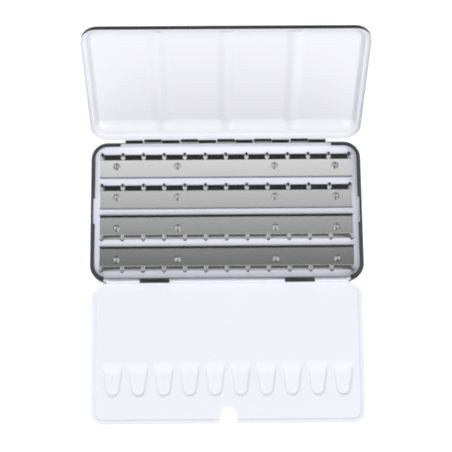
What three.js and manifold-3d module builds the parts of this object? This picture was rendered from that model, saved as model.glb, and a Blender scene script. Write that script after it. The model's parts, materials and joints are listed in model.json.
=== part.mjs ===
// Folding watercolour tin for 48 half pans, opened out and empty.
//
// Millimetres. The origin is the centre of the base's flat underside, +X points right,
// +Y points to the lid hinge at the back, and +Z points up. The lid and the mixing leaf are
// drawn closed, each about its own hinge, and then swung open to their resting angles.

import * as THREE from 'three';
import { mergeVertices } from 'three/addons/utils/BufferGeometryUtils.js';
import Module from 'manifold-3d';

const wasm = await Module();
wasm.setup();

// ---- Driving dimensions -------------------------------------------------------------------

const TIN_WIDTH = 220;
const TIN_DEPTH = 115;
const CORNER_RADIUS = 13.5;
const SHOULDER_TOP = 12;
const NECK_TOP = 14.6;
const TIN_SHEET = 0.6;
const LEAF_SHEET = 0.5;
const RAIL_SHEET = 0.5;
const CELL_PITCH = 17;
const CELLS_PER_RAIL = 12;
const LID_OPEN_ANGLE = 119;
const REST_GAP = 0.05;
const ARC_STEPS = 3;
const ROUND_SIDES = 8;
const OVERSHOOT = 1;
const OVERLAP = 0.02;

const HALF_WIDTH = TIN_WIDTH / 2;
const HALF_DEPTH = TIN_DEPTH / 2;

// ---- Neck, hems and hinge gaps of the base ------------------------------------------------

const NECK_INSET = 1.7;
const HEM_WIDTH = 1.7;
const HEM_DEPTH = 2.2;
const HEM_BREAK_LENGTH = 21;
const BACK_GAP_HALF = 86;
const FRONT_GAP_HALF = 100.5;
const FRONT_SHOULDER_TOP = 8.6;
const FRONT_WALL_OUT = 1.6;
const FRONT_WALL_TOP = 11.8;
const FOOT_RADIUS = 1.4;
const RIM_EASE = 0.4;
const GAP_REACH = 5;

// ---- Lid hinge ----------------------------------------------------------------------------

const LID_AXIS_Y = HALF_DEPTH + 1.3;
const LID_AXIS_Z = 11.2;
const LID_KNUCKLE_RADIUS = 1.05;
const LID_KNUCKLES = 11;
const LID_KNUCKLE_PITCH = 15;
const KNUCKLE_END_GAP = 0.3;
const PIN_RADIUS = 0.45;
const PIN_BORE_RADIUS = 0.65;
const PIN_END_PLAY = 0.4;
const WEB_THICKNESS = 1.1;

// ---- Leaf hinge ---------------------------------------------------------------------------

const LEAF_AXIS_Y = 0.15 - HALF_DEPTH;
const LEAF_AXIS_Z = 10.3;
const LEAF_BARREL_RADIUS = 1;
const LEAF_KNUCKLE_RADIUS = 1.2;
const LEAF_KNUCKLE_CENTRE = 58.2;
const LEAF_KNUCKLE_WIDTH = 23.6;

// ---- Mixing leaf, measured from its hinge axis --------------------------------------------

const LEAF_LENGTH = 112.1;
const LEAF_HALF_WIDTH = 108.7;
const LEAF_CORNER_RADIUS = 10;
const LEDGE_WIDTH = 3.1;
const LEDGE_START = 6.8;
const LEDGE_BOTTOM = NECK_TOP + 0.15 - LEAF_AXIS_Z;
const LEDGE_CLEARANCE = 0.15;
const LEDGE_REAR_RADIUS = 0.3;
const FIELD_STEP = 0.8;
const FIELD_REAR_RADIUS = 8.5;
const FIELD_REAR = 0.75;
const FIELD_SLOPE = 0.6;
const APRON_BOTTOM = 1.7;
const APRON_HALF = 97;
const NOTCH_WIDTH = 13.4;
const NOTCH_DEPTH = 14;
const SMALL_WELLS = 10;
const SMALL_WELL_PITCH = 20.4;
const SMALL_WELL_REAR = 63.4;
const SMALL_WELL_FRONT = 91.4;
const SMALL_WELL_REAR_WIDTH = 18;
const SMALL_WELL_FRONT_WIDTH = 12.4;
const SMALL_WELL_DEPTH = 1.8;
const SMALL_WELL_SLOPE = 1.3;

// ---- Lid ----------------------------------------------------------------------------------

const LID_BOTTOM = SHOULDER_TOP + 0.15;
const LID_BORDER_TOP = 17;
const LID_BORDER_INSET = 4.2;
const LID_EDGE_RADIUS = 0.8;
const TRAY_RADIUS = 9.5;
const TRAY_SLOPE = 1.2;
const RIDGE_DROP = 2;
const WELL_DROP = 4.5;
const WELLS = 4;
// How far each well's top edge and its floor stand in from its quarter of the lid.
const WELL_TOP_SPREAD = { side: 1.5, front: 1.5, back: 3.2, radius: 8 };
const WELL_FLOOR_SPREAD = { side: 4.6, front: 3.6, back: 10.5, radius: 7 };
// The outside of the lid's pads stands out a little past their inside.
const PAD_GROWTH = 0.4;

// ---- Rails and rivets ---------------------------------------------------------------------

const RAIL_LENGTH = CELLS_PER_RAIL * CELL_PITCH + 3;
const RAIL_WIDTH = 20.8;
const RAIL_PITCH = 26;
const RAILS_CENTRE_Y = 1.2;
const RAIL_COUNT = 4;
const RAIL_BOTTOM = TIN_SHEET + REST_GAP;
const PLAIN_FLANGE_HEIGHT = 4.5;
const SLOPED_FLANGE_WIDTH = 4;
const SLOPED_FLANGE_RISE = 2.3;
const FLUTE_ROOT_WIDTH = 5.4;
const FLUTE_TIP_RADIUS = 1.7;
const FLUTE_REACH = 1;
const FLUTE_ROOT_EASE = 0.8;
const RIVET_PLACES = [-90, -40, 40, 90];
const RIVET_HEAD_RADIUS = 2.9;
const RIVET_HEAD_HEIGHT = 0.9;
const RIVET_SHANK_RADIUS = 1.1;
const RIVET_HOLE_RADIUS = 1.35;

// ---- Materials ----------------------------------------------------------------------------

const enamelBase = new THREE.MeshStandardMaterial({ color: 0x2b2b2d, roughness: 0.35, metalness: 0.1 });
const enamelLid = new THREE.MeshStandardMaterial({ color: 0xf2f3f8, roughness: 0.25, metalness: 0 });
const enamelLeaf = new THREE.MeshStandardMaterial({ color: 0xf1f4fb, roughness: 0.22, metalness: 0 });
const brushedSteel = new THREE.MeshStandardMaterial({ color: 0xb4b4b2, roughness: 0.42, metalness: 1 });
const brightSteel = new THREE.MeshStandardMaterial({ color: 0xc9c9c8, roughness: 0.25, metalness: 1 });

// ---- Solids from three.js geometry --------------------------------------------------------

function toSolid(geometry) {
  geometry.deleteAttribute('normal');
  geometry.deleteAttribute('uv');
  const merged = mergeVertices(geometry, 1e-5);
  const vertProperties = new Float32Array(merged.attributes.position.array);
  const triVerts = new Uint32Array(merged.index.array);
  return new wasm.Manifold(new wasm.Mesh({ numProp: 3, vertProperties, triVerts }));
}

function toGeometry(solid) {
  const mesh = solid.getMesh();
  const geometry = new THREE.BufferGeometry();
  geometry.setAttribute('position', new THREE.BufferAttribute(mesh.vertProperties, 3));
  geometry.setIndex(new THREE.BufferAttribute(mesh.triVerts, 1));
  return geometry;
}

function box(x0, x1, y0, y1, z0, z1) {
  const geometry = new THREE.BoxGeometry(x1 - x0, y1 - y0, z1 - z0);
  geometry.translate((x0 + x1) / 2, (y0 + y1) / 2, (z0 + z1) / 2);
  return toSolid(geometry);
}

// A rod along X, centred on (y, z).
function rod(radius, x0, x1, y, z) {
  const geometry = new THREE.CylinderGeometry(radius, radius, x1 - x0, ROUND_SIDES);
  geometry.rotateZ(Math.PI / 2);
  geometry.translate((x0 + x1) / 2, y, z);
  return toSolid(geometry);
}

// A shape drawn in X and Y, raised from z0 to z1.
function plate(shape, z0, z1, curveSegments = ARC_STEPS) {
  const geometry = new THREE.ExtrudeGeometry(shape, { depth: z1 - z0, bevelEnabled: false, curveSegments });
  geometry.translate(0, 0, z0);
  return toSolid(geometry);
}

// A section drawn in Y (shape x) and Z (shape y), drawn out along X from x0 to x1.
function bar(section, x0, x1) {
  const geometry = new THREE.ExtrudeGeometry(section, { depth: x1 - x0, bevelEnabled: false });
  const shapeXToY = new THREE.Matrix4().makeBasis(
    new THREE.Vector3(0, 1, 0),
    new THREE.Vector3(0, 0, 1),
    new THREE.Vector3(1, 0, 0),
  );
  geometry.applyMatrix4(shapeXToY);
  geometry.translate(x0, 0, 0);
  return toSolid(geometry);
}

function polygon(points) {
  return new THREE.Shape(points.map(([x, y]) => new THREE.Vector2(x, y)));
}

// A rectangle from (x0, y0) to (x1, y1) with one radius for its two low-Y corners and one
// for its two high-Y corners.
function roundedRectangle(x0, x1, y0, y1, lowRadius, highRadius = lowRadius) {
  const shape = new THREE.Shape();
  shape.moveTo(x0 + lowRadius, y0);
  shape.lineTo(x1 - lowRadius, y0);
  shape.absarc(x1 - lowRadius, y0 + lowRadius, lowRadius, -Math.PI / 2, 0);
  shape.lineTo(x1, y1 - highRadius);
  shape.absarc(x1 - highRadius, y1 - highRadius, highRadius, 0, Math.PI / 2);
  shape.lineTo(x0 + highRadius, y1);
  shape.absarc(x0 + highRadius, y1 - highRadius, highRadius, Math.PI / 2, Math.PI);
  shape.lineTo(x0, y0 + lowRadius);
  shape.absarc(x0 + lowRadius, y0 + lowRadius, lowRadius, Math.PI, 1.5 * Math.PI);
  return shape;
}

// The tin's own outline, drawn in by a distance.
function tinOutline(inset) {
  const halfWidth = HALF_WIDTH - inset;
  const halfDepth = HALF_DEPTH - inset;
  return roundedRectangle(-halfWidth, halfWidth, -halfDepth, halfDepth, CORNER_RADIUS - inset);
}

// A closed skin over rings of points. Every ring is { points, heights }, with the same number
// of points, and the first and last rings are capped.
function skin(rings) {
  const count = rings[0].points.length;
  const positions = [];
  const index = [];
  for (const ring of rings) {
    ring.points.forEach((point, i) => positions.push(point.x, point.y, ring.heights[i]));
  }
  for (let r = 0; r + 1 < rings.length; r++) {
    for (let i = 0; i < count; i++) {
      const a = r * count + i;
      const b = r * count + (i + 1) % count;
      index.push(a, b, a + count, b, b + count, a + count);
    }
  }
  const last = (rings.length - 1) * count;
  for (const [a, b, c] of THREE.ShapeUtils.triangulateShape(rings[0].points, [])) {
    index.push(a, c, b);
  }
  for (const [a, b, c] of THREE.ShapeUtils.triangulateShape(rings.at(-1).points, [])) {
    index.push(last + a, last + b, last + c);
  }
  const geometry = new THREE.BufferGeometry();
  geometry.setAttribute('position', new THREE.Float32BufferAttribute(positions, 3));
  geometry.setIndex(index);
  return toSolid(geometry);
}

// A shape's points, each given once.
function ringPoints(shape, divisions = ARC_STEPS) {
  const points = shape.getPoints(divisions);
  return points.filter((point, i) => point.distanceTo(points.at(i - 1)) > 1e-6);
}

// A skin over level outlines, given as [outline, z] from the bottom up.
function stack(levels) {
  return skin(levels.map(([shape, z]) => {
    const points = ringPoints(shape);
    return { points, heights: points.map(() => z) };
  }));
}

function joined(solids) {
  return solids.reduce((whole, solid) => whole.add(solid));
}

function cut(solid, tools) {
  return tools.reduce((left, tool) => left.subtract(tool), solid);
}

// ---- Hinges -------------------------------------------------------------------------------

// The lid hinge's knuckles stand side by side and belong to the base and the lid in turn.
function lidKnuckleSpan(i) {
  const left = (i - LID_KNUCKLES / 2) * LID_KNUCKLE_PITCH;
  return [left + KNUCKLE_END_GAP / 2, left + LID_KNUCKLE_PITCH - KNUCKLE_END_GAP / 2];
}

function lidKnuckles(belongsToLid) {
  const up = belongsToLid ? 1 : -1;
  const wall = HALF_DEPTH - TIN_SHEET / 6;
  const nearSide = LID_AXIS_Y - LID_KNUCKLE_RADIUS;
  const pastSide = nearSide + TIN_SHEET / 2;
  const above = (height) => LID_AXIS_Z + up * height;
  const web = polygon([
    [wall, above(LID_KNUCKLE_RADIUS + TIN_SHEET / 2)],
    [wall, above(LID_KNUCKLE_RADIUS + TIN_SHEET / 2 + WEB_THICKNESS)],
    [pastSide, above(TIN_SHEET + 1.2 * WEB_THICKNESS)],
    [pastSide, above(0.7 * LID_KNUCKLE_RADIUS)],
    [nearSide + OVERLAP, above(0)],
    [nearSide + OVERLAP, above(WEB_THICKNESS)],
  ]);
  const solids = [];
  for (let i = belongsToLid ? 1 : 0; i < LID_KNUCKLES; i += 2) {
    const [x0, x1] = lidKnuckleSpan(i);
    solids.push(rod(LID_KNUCKLE_RADIUS, x0, x1, LID_AXIS_Y, LID_AXIS_Z));
    solids.push(bar(web, x0, x1));
  }
  const bore = rod(PIN_BORE_RADIUS, -HALF_WIDTH, HALF_WIDTH, LID_AXIS_Y, LID_AXIS_Z);
  return joined(solids).subtract(bore);
}

function leafKnuckleSpan(side) {
  const centre = side * LEAF_KNUCKLE_CENTRE;
  return [centre - LEAF_KNUCKLE_WIDTH / 2, centre + LEAF_KNUCKLE_WIDTH / 2];
}

// ---- Base ---------------------------------------------------------------------------------

function baseShell() {
  const outside = stack([
    [tinOutline(FOOT_RADIUS), 0],
    [tinOutline(RIM_EASE), RIM_EASE],
    [tinOutline(0), FOOT_RADIUS],
    [tinOutline(0), SHOULDER_TOP],
    [tinOutline(NECK_INSET), SHOULDER_TOP],
    [tinOutline(NECK_INSET), NECK_TOP - RIM_EASE],
    [tinOutline(NECK_INSET + RIM_EASE), NECK_TOP],
  ]);
  const floorInset = FOOT_RADIUS + RIM_EASE;
  const neckInside = NECK_INSET + TIN_SHEET;
  const hemInside = NECK_INSET + HEM_WIDTH;
  const inside = stack([
    [tinOutline(floorInset), TIN_SHEET],
    [tinOutline(TIN_SHEET), floorInset],
    [tinOutline(TIN_SHEET), SHOULDER_TOP - TIN_SHEET],
    [tinOutline(neckInside), SHOULDER_TOP - TIN_SHEET],
    [tinOutline(neckInside), NECK_TOP - HEM_DEPTH],
    [tinOutline(hemInside), NECK_TOP - HEM_DEPTH],
    [tinOutline(hemInside), NECK_TOP - RIM_EASE],
    [tinOutline(hemInside - RIM_EASE), NECK_TOP + OVERLAP],
    [tinOutline(hemInside - RIM_EASE), NECK_TOP + OVERSHOOT],
  ]);
  return outside.subtract(inside);
}

// The hem inside the neck stops short of a stretch halfway along each side.
function hemBreaks() {
  const inner = HALF_WIDTH - NECK_INSET - TIN_SHEET;
  const half = HEM_BREAK_LENGTH / 2;
  const low = NECK_TOP - HEM_DEPTH - OVERLAP;
  const right = box(inner - HEM_WIDTH, inner, -half, half, low, NECK_TOP + OVERSHOOT);
  const left = box(-inner, HEM_WIDTH - inner, -half, half, low, NECK_TOP + OVERSHOOT);
  return joined([left, right]);
}

// Behind the rails the neck gives way to the lid hinge, and the wall ends at the shoulder.
function backGap() {
  const wallInside = HALF_DEPTH - TIN_SHEET;
  const above = SHOULDER_TOP - TIN_SHEET - OVERLAP;
  const top = NECK_TOP + OVERSHOOT;
  const outer = HALF_DEPTH + OVERSHOOT;
  return joined([
    box(-BACK_GAP_HALF, BACK_GAP_HALF, HALF_DEPTH - GAP_REACH, wallInside, above, top),
    box(-BACK_GAP_HALF, BACK_GAP_HALF, wallInside - OVERLAP, outer, SHOULDER_TOP, top),
  ]);
}

// At the front the shoulder drops across the leaf hinge, and a low wall stands behind it.
function frontGap() {
  const outer = -HALF_DEPTH - OVERSHOOT;
  const inner = GAP_REACH - HALF_DEPTH;
  const low = FRONT_SHOULDER_TOP - TIN_SHEET;
  return box(-FRONT_GAP_HALF, FRONT_GAP_HALF, outer, inner, low, NECK_TOP + OVERSHOOT);
}

function frontLowWall() {
  const outer = FRONT_WALL_OUT - HALF_DEPTH;
  const inner = outer + TIN_SHEET;
  const low = FRONT_SHOULDER_TOP - TIN_SHEET - OVERLAP;
  const section = polygon([
    [-HALF_DEPTH, low],
    [inner, low],
    [inner, FRONT_WALL_TOP],
    [outer, FRONT_WALL_TOP],
    [outer, FRONT_SHOULDER_TOP],
    [-HALF_DEPTH, FRONT_SHOULDER_TOP],
  ]);
  return bar(section, -FRONT_GAP_HALF - OVERLAP, FRONT_GAP_HALF + OVERLAP);
}

function baseLeafKnuckles() {
  const solids = [];
  const wall = FRONT_WALL_OUT - HALF_DEPTH + TIN_SHEET / 2;
  const side = LEAF_AXIS_Y + LEAF_KNUCKLE_RADIUS;
  const foot = FRONT_SHOULDER_TOP - TIN_SHEET / 6;
  const web = polygon([
    [side - OVERLAP, LEAF_AXIS_Z],
    [side - OVERLAP, foot],
    [wall, foot],
    [wall, LEAF_AXIS_Z + 1.3 * TIN_SHEET],
    [side - 0.7 * TIN_SHEET, LEAF_AXIS_Z + TIN_SHEET],
    [side - 0.8 * TIN_SHEET, LEAF_AXIS_Z],
  ]);
  for (const side of [-1, 1]) {
    const [x0, x1] = leafKnuckleSpan(side);
    solids.push(rod(LEAF_KNUCKLE_RADIUS, x0, x1, LEAF_AXIS_Y, LEAF_AXIS_Z));
    solids.push(bar(web, x0, x1));
  }
  const bore = rod(PIN_BORE_RADIUS, -HALF_WIDTH, HALF_WIDTH, LEAF_AXIS_Y, LEAF_AXIS_Z);
  return joined(solids).subtract(bore);
}

function railCentreY(row) {
  return RAILS_CENTRE_Y + (1.5 - row) * RAIL_PITCH;
}

function rivetHoles(y) {
  return joined(RIVET_PLACES.map((x) => {
    const geometry = new THREE.CylinderGeometry(RIVET_HOLE_RADIUS, RIVET_HOLE_RADIUS, 6, ROUND_SIDES);
    geometry.rotateX(Math.PI / 2);
    geometry.translate(x, y, 0);
    return toSolid(geometry);
  }));
}

function baseTray() {
  const holes = [];
  for (let row = 0; row < RAIL_COUNT; row++) {
    holes.push(rivetHoles(railCentreY(row)));
  }
  const shell = cut(baseShell(), [hemBreaks(), backGap(), frontGap(), ...holes]);
  return joined([shell, frontLowWall(), lidKnuckles(false), baseLeafKnuckles()]);
}

// ---- Lid, drawn closed over the base ------------------------------------------------------

function lidWellOutline(i, spread, grow) {
  const opening = HALF_WIDTH - LID_BORDER_INSET;
  const pitch = 2 * opening / WELLS;
  const x0 = i * pitch - opening + spread.side - grow;
  const x1 = (i + 1) * pitch - opening - spread.side + grow;
  const y0 = LID_BORDER_INSET - HALF_DEPTH + spread.front - grow;
  const y1 = HALF_DEPTH - LID_BORDER_INSET - spread.back + grow;
  return roundedRectangle(x0, x1, y0, y1, spread.radius);
}

function lidTrayOutline(inset, radius) {
  const halfWidth = HALF_WIDTH - LID_BORDER_INSET - inset;
  const halfDepth = HALF_DEPTH - LID_BORDER_INSET - inset;
  return roundedRectangle(-halfWidth, halfWidth, -halfDepth, halfDepth, radius);
}

// The four wells share a shallow tray, and each goes on up from there to its own floor.
function lidWells(grow, lift) {
  const borderZ = LID_BORDER_TOP - TIN_SHEET + lift;
  const ridgeZ = borderZ + RIDGE_DROP;
  const floorZ = borderZ + WELL_DROP;
  const solids = [
    stack([
      [lidTrayOutline(-grow, TRAY_RADIUS), borderZ - 0.1],
      [lidTrayOutline(-grow, TRAY_RADIUS), borderZ],
      [lidTrayOutline(TRAY_SLOPE - grow, TRAY_RADIUS - TRAY_SLOPE), ridgeZ],
    ]),
  ];
  for (let i = 0; i < WELLS; i++) {
    const rim = lidWellOutline(i, WELL_TOP_SPREAD, grow);
    const floor = lidWellOutline(i, WELL_FLOOR_SPREAD, grow);
    solids.push(stack([[rim, ridgeZ - 0.1], [rim, ridgeZ], [floor, floorZ]]));
  }
  return joined(solids);
}

function lidShell() {
  const bevel = 0.3 * LID_EDGE_RADIUS;
  const outside = stack([
    [tinOutline(0), LID_BOTTOM],
    [tinOutline(0), LID_BORDER_TOP - LID_EDGE_RADIUS],
    [tinOutline(bevel), LID_BORDER_TOP - bevel],
    [tinOutline(LID_EDGE_RADIUS), LID_BORDER_TOP],
  ]);
  const insideTop = LID_BORDER_TOP - TIN_SHEET;
  const inside = stack([
    [tinOutline(TIN_SHEET), LID_BOTTOM - OVERSHOOT],
    [tinOutline(TIN_SHEET), insideTop - RIM_EASE],
    [tinOutline(TIN_SHEET + RIM_EASE), insideTop],
  ]);
  const pads = lidWells(PAD_GROWTH, TIN_SHEET);
  const hollows = lidWells(0, 0);
  return cut(joined([outside, pads]), [inside, hollows]);
}

function lid() {
  return lidShell().add(lidKnuckles(true)).translate([0, -LID_AXIS_Y, -LID_AXIS_Z]);
}

// ---- Mixing leaf, drawn closed: Y runs from the hinge axis to the free edge ----------------

function leafField(inset) {
  return roundedRectangle(
    LEDGE_WIDTH - LEAF_HALF_WIDTH + inset,
    LEAF_HALF_WIDTH - LEDGE_WIDTH - inset,
    FIELD_REAR + inset,
    LEAF_LENGTH - LEDGE_WIDTH - inset,
    FIELD_REAR_RADIUS - inset,
    LEAF_CORNER_RADIUS - LEDGE_WIDTH - inset,
  );
}

// The ledge is eased beside the hinge, where the closed lid's corners come round it.
function leafLedge() {
  const shape = roundedRectangle(
    -LEAF_HALF_WIDTH, LEAF_HALF_WIDTH, LEDGE_START, LEAF_LENGTH, LEDGE_REAR_RADIUS, LEAF_CORNER_RADIUS);
  const lidInside = tinOutline(TIN_SHEET + LEDGE_CLEARANCE);
  const clear = plate(lidInside, 0, LEDGE_BOTTOM + OVERSHOOT).translate([0, -LEAF_AXIS_Y, 0]);
  return plate(shape, LEDGE_BOTTOM, LEDGE_BOTTOM + LEAF_SHEET).intersect(clear);
}

function leafSheet() {
  const raised = stack([
    [leafField(0), LEDGE_BOTTOM],
    [leafField(0), LEDGE_BOTTOM + LEAF_SHEET],
    [leafField(FIELD_SLOPE), LEDGE_BOTTOM + LEAF_SHEET + FIELD_STEP],
  ]);
  const hollow = stack([
    [leafField(LEAF_SHEET), LEDGE_BOTTOM - OVERSHOOT],
    [leafField(LEAF_SHEET), LEDGE_BOTTOM],
    [leafField(LEAF_SHEET + FIELD_SLOPE), LEDGE_BOTTOM + FIELD_STEP],
  ]);
  return leafLedge().add(raised).subtract(hollow);
}

// The well's plan is a tapered U, widest at the hinge side, and its floor slopes down to
// nothing there.
function smallWell(centreX, drop) {
  const rearHalf = SMALL_WELL_REAR_WIDTH / 2;
  const frontHalf = SMALL_WELL_FRONT_WIDTH / 2;
  const bend = SMALL_WELL_FRONT - frontHalf;
  const shape = new THREE.Shape();
  shape.moveTo(-rearHalf, SMALL_WELL_REAR);
  shape.lineTo(rearHalf, SMALL_WELL_REAR);
  shape.lineTo(frontHalf, bend);
  shape.absarc(0, bend, frontHalf, 0, Math.PI);
  const points = ringPoints(shape, 2 * ARC_STEPS);
  const fieldTop = LEDGE_BOTTOM + LEAF_SHEET + FIELD_STEP - drop;
  const centre = new THREE.Vector2(0, bend);
  const inner = points.map((point) => {
    const pull = SMALL_WELL_SLOPE / Math.max(point.distanceTo(centre), frontHalf);
    return point.clone().lerp(centre, point.y > SMALL_WELL_REAR + 1 ? pull : 0);
  });
  const depthAt = (y) => SMALL_WELL_DEPTH * Math.min((y - SMALL_WELL_REAR) / (bend - SMALL_WELL_REAR), 1);
  const place = (list) => list.map((point) => new THREE.Vector2(point.x + centreX, point.y));
  return skin([
    { points: place(points), heights: points.map(() => fieldTop - 0.1) },
    { points: place(points), heights: points.map(() => fieldTop) },
    { points: place(inner), heights: inner.map((point) => fieldTop + depthAt(point.y) + 0.01) },
  ]);
}

function smallWells(drop) {
  const wells = [];
  for (let i = 0; i < SMALL_WELLS; i++) {
    wells.push(smallWell((i - (SMALL_WELLS - 1) / 2) * SMALL_WELL_PITCH, drop));
  }
  return joined(wells);
}

function thumbNotch() {
  const radius = NOTCH_WIDTH / 2;
  const centreY = LEAF_LENGTH - NOTCH_DEPTH + radius;
  const shape = new THREE.Shape();
  shape.moveTo(-radius, LEAF_LENGTH + OVERSHOOT);
  shape.lineTo(-radius, centreY);
  shape.absarc(0, centreY, radius, Math.PI, 2 * Math.PI);
  shape.lineTo(radius, LEAF_LENGTH + OVERSHOOT);
  return plate(shape, 0, LEDGE_BOTTOM + FIELD_STEP + OVERSHOOT, 2 * ARC_STEPS);
}

function leafBarrelSpans() {
  const [left, right] = leafKnuckleSpan(1);
  const inner = left - KNUCKLE_END_GAP;
  const outer = right + KNUCKLE_END_GAP;
  return [[-APRON_HALF, -outer], [-inner, inner], [outer, APRON_HALF]];
}

function leafHinge() {
  const apronTop = LEDGE_BOTTOM + LEAF_SHEET;
  const solids = [
    box(-APRON_HALF, APRON_HALF, FIELD_REAR, FIELD_REAR + LEAF_SHEET, APRON_BOTTOM, apronTop),
  ];
  for (const [x0, x1] of leafBarrelSpans()) {
    solids.push(box(x0, x1, FIELD_REAR, FIELD_REAR + LEAF_SHEET, 0, apronTop));
    solids.push(rod(LEAF_BARREL_RADIUS, x0, x1, 0, 0));
  }
  return joined(solids).subtract(rod(PIN_BORE_RADIUS, -HALF_WIDTH, HALF_WIDTH, 0, 0));
}

function mixingLeaf() {
  const sheet = leafSheet().add(smallWells(0));
  const pressed = sheet.subtract(smallWells(LEAF_SHEET));
  return cut(pressed, [thumbNotch()]).add(leafHinge());
}

// The open leaf comes to rest with its wells' undersides just above the table.
function leafOpenAngle() {
  const wellUnderside = LEDGE_BOTTOM + LEAF_SHEET + FIELD_STEP + SMALL_WELL_DEPTH;
  const drop = LEAF_AXIS_Z - wellUnderside - 0.15;
  return Math.PI + Math.asin(drop / SMALL_WELL_FRONT);
}

// ---- Rails, drawn with the plain flange at Y = 0 and the fluted flange towards +Y ---------

// The fluted flange leaves the floor here and slopes up and out to its edge.
const FLANGE_FOOT_Y = RAIL_WIDTH - SLOPED_FLANGE_WIDTH;
const FLANGE_EDGE_Z = RAIL_BOTTOM + RAIL_SHEET + SLOPED_FLANGE_RISE;

function railSection() {
  const plainTop = RAIL_BOTTOM + PLAIN_FLANGE_HEIGHT;
  return polygon([
    [0, RAIL_BOTTOM],
    [FLANGE_FOOT_Y, RAIL_BOTTOM],
    [RAIL_WIDTH, FLANGE_EDGE_Z - RAIL_SHEET],
    [RAIL_WIDTH, FLANGE_EDGE_Z],
    [FLANGE_FOOT_Y, RAIL_BOTTOM + RAIL_SHEET],
    [RAIL_SHEET, RAIL_BOTTOM + RAIL_SHEET],
    [RAIL_SHEET, plainTop],
    [0, plainTop],
  ]);
}

// Everything below the fluted flange's upper face, carried on level past its edge.
function underFlange() {
  const far = RAIL_WIDTH + FLUTE_REACH + OVERSHOOT;
  return polygon([
    [RAIL_WIDTH / 2, RAIL_BOTTOM],
    [far, RAIL_BOTTOM],
    [far, FLANGE_EDGE_Z],
    [RAIL_WIDTH, FLANGE_EDGE_Z],
    [FLANGE_FOOT_Y, RAIL_BOTTOM + RAIL_SHEET],
    [RAIL_WIDTH / 2, RAIL_BOTTOM + RAIL_SHEET],
  ]);
}

function flutePlan(x, grow) {
  const rootY = FLANGE_FOOT_Y - FLUTE_ROOT_EASE;
  const radius = FLUTE_TIP_RADIUS + grow;
  const tipY = RAIL_WIDTH + FLUTE_REACH - RAIL_SHEET - FLUTE_TIP_RADIUS;
  const rootHalf = FLUTE_ROOT_WIDTH / 2 + grow;
  const shape = new THREE.Shape();
  shape.moveTo(x - rootHalf, rootY);
  shape.lineTo(x + rootHalf, rootY);
  shape.lineTo(x + radius, tipY);
  shape.absarc(x, tipY, radius, 0, Math.PI);
  return shape;
}

function panRail(row) {
  const halfLength = RAIL_LENGTH / 2;
  const section = bar(railSection(), -halfLength, halfLength);
  const top = RAIL_BOTTOM + PLAIN_FLANGE_HEIGHT + OVERSHOOT;
  const outer = [];
  const inner = [];
  const floors = [];
  for (let i = 0; i <= CELLS_PER_RAIL; i++) {
    const x = (i - CELLS_PER_RAIL / 2) * CELL_PITCH;
    outer.push(plate(flutePlan(x, RAIL_SHEET), RAIL_BOTTOM, top));
    inner.push(plate(flutePlan(x, 0), RAIL_BOTTOM + RAIL_SHEET, top));
    floors.push(plate(flutePlan(x, RAIL_SHEET), RAIL_BOTTOM, RAIL_BOTTOM + RAIL_SHEET));
  }
  const walls = joined(outer).intersect(bar(underFlange(), -halfLength, halfLength));
  const keep = box(-halfLength, halfLength, 0, RAIL_WIDTH + FLUTE_REACH + OVERSHOOT, 0, top);
  const fluted = cut(joined([section, walls]), inner);
  const centred = joined([fluted, joined(floors).intersect(keep)]).translate([0, -RAIL_WIDTH / 2, 0]);
  const turned = row < RAIL_COUNT / 2 ? centred : centred.mirror([0, 1, 0]);
  return turned.translate([0, railCentreY(row), 0]).subtract(rivetHoles(railCentreY(row)));
}

// ---- Rivets -------------------------------------------------------------------------------

// A low domed head with a dimple, and a shank that ends flush in the base's floor.
function rivetGeometry() {
  const seat = RAIL_BOTTOM + RAIL_SHEET + REST_GAP;
  const headTop = seat + RIVET_HEAD_HEIGHT;
  const profile = [
    [0, REST_GAP],
    [RIVET_SHANK_RADIUS, REST_GAP],
    [RIVET_SHANK_RADIUS, seat],
    [RIVET_HEAD_RADIUS, seat],
    [0.75 * RIVET_HEAD_RADIUS, headTop],
    [0.4 * RIVET_HEAD_RADIUS, headTop],
    [0, headTop - RIVET_HEAD_HEIGHT / 2],
  ];
  const geometry = new THREE.LatheGeometry(profile.map(([r, z]) => new THREE.Vector2(r, z)), ROUND_SIDES);
  geometry.rotateX(Math.PI / 2);
  return geometry;
}

// ---- Pins ---------------------------------------------------------------------------------

function pinGeometry(length) {
  const geometry = new THREE.CylinderGeometry(PIN_RADIUS, PIN_RADIUS, length, ROUND_SIDES);
  geometry.rotateZ(Math.PI / 2);
  return geometry;
}

// ---- Assembly -----------------------------------------------------------------------------

function named(name, geometry, material) {
  const mesh = new THREE.Mesh(geometry, material);
  mesh.name = name;
  return mesh;
}

const tin = new THREE.Group();
tin.add(named('base_tray', toGeometry(baseTray()), enamelBase));

const lidHinge = new THREE.Group();
lidHinge.position.set(0, LID_AXIS_Y, LID_AXIS_Z);
lidHinge.rotation.x = THREE.MathUtils.degToRad(-LID_OPEN_ANGLE);
lidHinge.add(named('lid', toGeometry(lid()), enamelLid));
tin.add(lidHinge);

const leafHingeGroup = new THREE.Group();
leafHingeGroup.position.set(0, LEAF_AXIS_Y, LEAF_AXIS_Z);
leafHingeGroup.rotation.x = leafOpenAngle();
leafHingeGroup.add(named('mixing_leaf', toGeometry(mixingLeaf()), enamelLeaf));
tin.add(leafHingeGroup);

const lidPin = named('lid_hinge_pin', pinGeometry(LID_KNUCKLES * LID_KNUCKLE_PITCH - PIN_END_PLAY), brightSteel);
lidPin.position.set(0, LID_AXIS_Y, LID_AXIS_Z);
tin.add(lidPin);

const leafPin = named('leaf_hinge_pin', pinGeometry(2 * APRON_HALF - PIN_END_PLAY), brightSteel);
leafPin.position.set(0, LEAF_AXIS_Y, LEAF_AXIS_Z);
tin.add(leafPin);

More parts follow.
